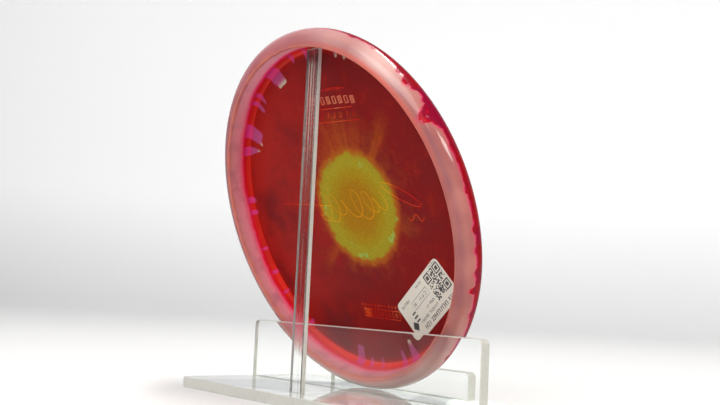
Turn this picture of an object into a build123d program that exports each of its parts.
"""A translucent golf disc leaning on a clear acrylic display stand.

Frame: millimetres, +Z up, origin at the centre of the base plate's underside.
+X runs across the stand and +Y is the way the disc's stamped top face looks.
The disc leans back on the post, so the hollow underside faces -Y.
"""
import math
import os

from build123d import *

# --- the disc, in its own frame: axis +Z towards the stamped top, rim's lower edge at z = 0
DISC_R = 106.0            # outer radius at the nose
RIM_INNER_R = 96.7        # inner wall of the rim at its lower edge
WALL_TOP_R = 95.5         # inner wall where the corner fillet starts
RIM_DEPTH = 14.2          # from the rim's lower edge up to the plate's underside
CORNER_R = 2.7            # fillet between the inner wall and the plate
UNDERSIDE_DOME = 1.6      # rise of the plate's underside from its edge to its centre
NOSE_Z = 8.1              # height of the widest point
LOWER_NOSE_R = 98.5       # where the curve of the lower rim meets the flat lower edge
LOWER_EDGE_ROUND = 1.0    # round between the inner wall and the lower edge
SHOULDER_R = 96.5         # where the shoulder's curve meets the plate's top
SHOULDER_Z = 16.6
DISC_HEIGHT = 17.8        # lower edge to the top of the dome

# --- the price label, on the plate's underside
LABEL_SIZE = (50.0, 25.0)
LABEL_CORNER_R = 3.0
LABEL_T = 0.15
GLUE_T = 0.02             # film of adhesive between the plate and the label or the foil
LABEL_POS = (53.0, 50.7)
LABEL_ANGLE = 141.3       # long side, counted from the disc's own +X

# --- the hot-stamped foil, on the plate's top
FOIL_T = 0.12
RULE_SIZE = (52.0, 0.7)
RULE_Y = (-59.4, -51.8)
DASH_SIZE = (3.6, 2.2)
DASH_PITCH = 6.4
DASH_COUNT = 8
CREST_ARC_R = 300.0       # the arched row of ticks follows this circle
CREST_Y = -64.4           # the middle of the arched row
CREST_STEP = 1.08         # degrees between ticks
CREST_COUNT = 9
CREST_TICK = (3.8, 4.6)
BOX_SIDE = 5.4
BOX_LINE = 0.6
BOX_PITCH = 6.2
BOX_COUNT = 5
BOX_ROW_CENTRE = (11.8, 61.5)
FLOURISH_LINE = 1.1       # widest part of a stroke
# each stroke of the flourish: start, end, and how far its middle bows to the left of that line
FLOURISH = [
    ((-60.0, -1.5), (-16.0, -2.0), -1.2),
    ((-46.0, 9.0), (-30.0, -15.0), 5.0),
    ((-30.0, -15.0), (-24.0, 7.0), 4.0),
    ((-24.0, 7.0), (-8.0, -9.0), 5.0),
    ((-8.0, -9.0), (-6.0, 6.0), -6.0),
    ((-6.0, 6.0), (14.0, -14.0), 6.0),
    ((14.0, -14.0), (16.0, 5.0), -7.0),
    ((16.0, 5.0), (34.0, -6.0), 5.0),
    ((34.0, -6.0), (62.0, 8.0), -6.0),
]

# --- the stand
BASE_SIZE = (200.0, 100.0, 6.0)
BASE_CORNER_R = 8.0
PANEL_T = 6.0             # sheet thickness of the panel and the lip
PANEL_W = 200.0
PANEL_H = 35.2            # above the base
PANEL_CORNER_R = 3.0
LIP_W = 120.0
LIP_H = 15.0
POST_W = 10.2
POST_T = 3.2
POST_CORNER_R = 0.8       # rounds at the top of the post
POST_BREAK = 0.35         # chamfer along the post's upright edges
TAB_W = 24.0              # tabs that pass through the base
TAB_PITCH = 120.0
LIP_TAB_PITCH = 70.0
EDGE_BREAK = 0.4          # softened sheet edges

# --- how the disc stands
LEAN = 20.5               # degrees from upright
SPIN = 2.5                # degrees that the stamp is turned from level
DISC_X = -8.6             # disc's centre, across the stand
DISC_Y = -12.0            # centre of the rim's lower edge, along Y
REST_GAP = 0.2            # between the disc and the base
# where the post's top back edge ends, in the disc's own frame: just inside the rim's corner
POST_TIP_R = 93.1
POST_TIP_Z = 13.2
PANEL_GAP = 2.0           # between the panel and the disc's lower edge
LIP_GAP = 0.6             # between the lip and the disc's shoulder


lean = math.radians(LEAN)
SIN = math.sin(lean)
COS = math.cos(lean)
UNDERSIDE_R = WALL_TOP_R - CORNER_R
BASE_TOP = BASE_SIZE[2]


def lower_nose_reach(down, up):
    """Furthest reach of the lower rim's quarter ellipse along a direction in the profile's plane."""
    bulge = math.hypot((DISC_R - LOWER_NOSE_R) * down, NOSE_Z * up)
    return LOWER_NOSE_R * down - NOSE_Z * up + bulge


def shoulder_reach(down, up):
    """Furthest reach of the shoulder's quarter ellipse along a direction in the profile's plane."""
    bulge = math.hypot((DISC_R - SHOULDER_R) * down, (SHOULDER_Z - NOSE_Z) * up)
    return SHOULDER_R * down + NOSE_Z * up + bulge


DISC_Z = BASE_TOP + REST_GAP + lower_nose_reach(COS, SIN)
disc_plane = Plane(
    origin=(DISC_X, DISC_Y, DISC_Z),
    x_dir=(
        math.cos(math.radians(SPIN)),
        SIN * math.sin(math.radians(SPIN)),
        -COS * math.sin(math.radians(SPIN)),
    ),
    z_dir=(0, COS, SIN),
)


def dome(centre_z, edge_z, edge_r):
    """The arc of a shallow dome, from the axis out to its edge."""
    middle = (edge_r / 2, centre_z - (centre_z - edge_z) / 4)
    return ThreePointArc((0, centre_z), middle, (edge_r, edge_z))


def quarter_ellipse(centre, x_radius, y_radius, start_angle):
    """A quarter of an ellipse, anticlockwise from its start angle."""
    return EllipticalCenterArc(centre, x_radius, y_radius, start_angle=start_angle, arc_size=90)


def dome_skin(centre_z, edge_z, edge_r, thickness):
    """A thin domed sheet that starts at the dome and grows by thickness along Z."""
    with BuildPart() as skin:
        with BuildSketch(Plane.XZ):
            with BuildLine():
                dome(centre_z, edge_z, edge_r)
                Line((edge_r, edge_z), (edge_r, edge_z + thickness))
                dome(centre_z + thickness, edge_z + thickness, edge_r)
                Line((0, centre_z + thickness), (0, centre_z))
            make_face()
        revolve(axis=Axis.Z)
    return skin.part


def pressed_from(skin, outline):
    """The part of a thin skin that lies within a flat outline."""
    cutter = extrude(Pos(0, 0, RIM_DEPTH / 2) * outline, DISC_HEIGHT)
    return skin & cutter


def make_disc():
    """The whole moulding: rim, shoulder and flight plate."""
    underside_top = RIM_DEPTH + UNDERSIDE_DOME
    fillet_z = RIM_DEPTH - CORNER_R
    corner = CORNER_R * math.sqrt(0.5)
    flat_r = RIM_INNER_R + LOWER_EDGE_ROUND
    lower_round = LOWER_EDGE_ROUND * (1 - math.sqrt(0.5))
    with BuildPart() as disc:
        with BuildSketch(Plane.XZ):
            with BuildLine():
                dome(underside_top, RIM_DEPTH, UNDERSIDE_R)
                ThreePointArc(
                    (UNDERSIDE_R, RIM_DEPTH),
                    (UNDERSIDE_R + corner, fillet_z + corner),
                    (WALL_TOP_R, fillet_z),
                )
                Line((WALL_TOP_R, fillet_z), (RIM_INNER_R, LOWER_EDGE_ROUND))
                ThreePointArc(
                    (RIM_INNER_R, LOWER_EDGE_ROUND),
                    (RIM_INNER_R + lower_round, lower_round),
                    (flat_r, 0),
                )
                Line((flat_r, 0), (LOWER_NOSE_R, 0))
                quarter_ellipse((LOWER_NOSE_R, NOSE_Z), DISC_R - LOWER_NOSE_R, NOSE_Z, -90)
                quarter_ellipse((SHOULDER_R, NOSE_Z), DISC_R - SHOULDER_R, SHOULDER_Z - NOSE_Z, 0)
                dome(DISC_HEIGHT, SHOULDER_Z, SHOULDER_R)
                Line((0, DISC_HEIGHT), (0, underside_top))
            make_face()
        revolve(axis=Axis.Z)
    return disc.part


def make_label():
    """The price label, stuck to the underside and following its dome."""
    edge_z = RIM_DEPTH - GLUE_T
    skin = dome_skin(edge_z + UNDERSIDE_DOME, edge_z, UNDERSIDE_R, -LABEL_T)
    outline = Pos(*LABEL_POS) * Rot(0, 0, LABEL_ANGLE) * RectangleRounded(*LABEL_SIZE, LABEL_CORNER_R)
    return pressed_from(skin, outline)


def crescent(start, end, bow):
    """A pen stroke: two arcs that share their ends and bow apart by the line's width."""
    ax, ay = start
    bx, by = end
    length = math.hypot(bx - ax, by - ay)
    side = Vector(-(by - ay) / length, (bx - ax) / length)
    middle = Vector((ax + bx) / 2, (ay + by) / 2)
    with BuildSketch() as stroke:
        with BuildLine():
            ThreePointArc(start, middle + side * (bow + FLOURISH_LINE / 2), end)
            ThreePointArc(start, middle + side * (bow - FLOURISH_LINE / 2), end)
        make_face()
    return stroke.sketch


def row(count, pitch):
    """Evenly spaced places about zero."""
    return [(i - (count - 1) / 2) * pitch for i in range(count)]


def foil_outlines():
    """Every shape of the stamp, flat: a crest of ticks, two rules with dashes, a flourish, a row of boxes."""
    shapes = []
    crest_centre_y = CREST_Y + CREST_ARC_R
    for i in row(CREST_COUNT, CREST_STEP):
        angle = math.radians(i)
        place = (CREST_ARC_R * math.sin(angle), crest_centre_y - CREST_ARC_R * math.cos(angle))
        shapes.append(Pos(*place) * Rot(0, 0, i) * Rectangle(*CREST_TICK))
    for y in RULE_Y:
        shapes.append(Pos(0, y) * Rectangle(*RULE_SIZE))
    for x in row(DASH_COUNT, DASH_PITCH):
        shapes.append(Pos(x, sum(RULE_Y) / 2) * Rectangle(*DASH_SIZE))
    for stroke in FLOURISH:
        shapes.append(crescent(*stroke))
    for x in row(BOX_COUNT, BOX_PITCH):
        inside = BOX_SIDE - 2 * BOX_LINE
        box = Rectangle(BOX_SIDE, BOX_SIDE) - Rectangle(inside, inside)
        shapes.append(Pos(BOX_ROW_CENTRE[0] + x, BOX_ROW_CENTRE[1]) * box)
    return shapes


def make_foil():
    """The stamp's foil: one thin film in many separate shapes, on the plate's top."""
    skin = dome_skin(DISC_HEIGHT + GLUE_T, SHOULDER_Z + GLUE_T, SHOULDER_R, FOIL_T)
    films = [pressed_from(skin, shape) for shape in foil_outlines()]
    return Compound(children=[solid for film in films for solid in film.solids()])


def make_panel():
    """The clear sheet behind the disc's lower edge, with two tabs that pass through the base."""
    sheet = sheet_with_tabs(PANEL_W, PANEL_H, TAB_PITCH)
    return Pos(0, PANEL_FACE_Y, BASE_TOP) * sheet


def make_lip():
    """The low front sheet that stops the disc's lower edge from sliding forwards."""
    return Pos(0, LIP_FACE_Y + PANEL_T, BASE_TOP) * sheet_with_tabs(LIP_W, LIP_H, LIP_TAB_PITCH)


def sheet_with_tabs(width, height, tab_pitch):
    """An upright sheet: y from -PANEL_T to 0, z from 0 up, with tabs down to the base's underside."""
    upright = Plane(origin=(0, 0, 0), x_dir=(1, 0, 0), z_dir=(0, -1, 0))
    face = RectangleRounded(width, height + PANEL_CORNER_R, PANEL_CORNER_R)
    face = Pos(0, (height - PANEL_CORNER_R) / 2) * face
    face = face & (Pos(0, height / 2) * Rectangle(width, height))
    for x in row(2, tab_pitch):
        face = face + Pos(x, -BASE_TOP / 2) * Rectangle(TAB_W, BASE_TOP)
    sheet = extrude(upright * face, PANEL_T)
    top_edges = sheet.edges().filter_by(Axis.X).group_by(Axis.Z)[-1]
    return chamfer(top_edges, EDGE_BREAK)


def post_bar(height):
    """A bar with the post's section, from the base's underside up, its upright edges chamfered."""
    bar = Pos(0, POST_FACE_Y - POST_T / 2, height / 2) * Box(POST_W, POST_T, height)
    return chamfer(bar.edges().filter_by(Axis.Z), POST_BREAK)


def make_post():
    """The upright bar that the disc leans on. Its foot passes through the base."""
    bar = post_bar(BASE_TOP + POST_H)
    top_corners = bar.edges().filter_by(Axis.Y).group_by(Axis.Z)[-1]
    return fillet(top_corners, POST_CORNER_R)


def make_base():
    """The base plate, with a slot for every tab and a mortise for the post."""
    plate = extrude(RectangleRounded(BASE_SIZE[0], BASE_SIZE[1], BASE_CORNER_R), BASE_TOP)
    rims = [plate.edges().group_by(Axis.Z)[0], plate.edges().group_by(Axis.Z)[-1]]
    plate = chamfer(rims[0] + rims[1], EDGE_BREAK)
    slots = []
    for x in row(2, TAB_PITCH):
        slots.append(Pos(x, PANEL_FACE_Y - PANEL_T / 2, BASE_TOP / 2) * Box(TAB_W, PANEL_T, BASE_TOP))
    for x in row(2, LIP_TAB_PITCH):
        slots.append(Pos(x, LIP_FACE_Y + PANEL_T / 2, BASE_TOP / 2) * Box(TAB_W, PANEL_T, BASE_TOP))
    slots.append(post_bar(BASE_TOP))
    return plate - slots


# The post's top tucks into the corner between the plate and the rim's inner wall.
POST_FACE_Y = DISC_Y - POST_TIP_R * SIN + POST_TIP_Z * COS
POST_H = DISC_Z + POST_TIP_R * COS + POST_TIP_Z * SIN - BASE_TOP
# The panel's front face stays behind the rim's lower edge at the panel's own height.
panel_top_drop = DISC_Z - BASE_TOP - PANEL_H
PANEL_FACE_Y = DISC_Y + panel_top_drop * SIN / COS - PANEL_GAP
# The lip stands just in front of the shoulder's furthest reach.
LIP_FACE_Y = DISC_Y + shoulder_reach(SIN, COS) + LIP_GAP

nodes = {
    "disc_body": disc_plane * make_disc(),
    "price_label": disc_plane * make_label(),
    "stamp_foil": disc_plane * make_foil(),
    "stand_base": make_base(),
    "stand_post": make_post(),
    "stand_panel": make_panel(),
    "stand_lip": make_lip(),
}

os.makedirs("parts", exist_ok=True)
for name, shape in nodes.items():
    export_step(shape, f"parts/{name}.step")

print("disc centre", [round(c, 2) for c in disc_plane.origin])
print("post front face y", round(POST_FACE_Y, 2), "height above base", round(POST_H, 2))
print("panel front face y", round(PANEL_FACE_Y, 2), "lip inner face y", round(LIP_FACE_Y, 2))
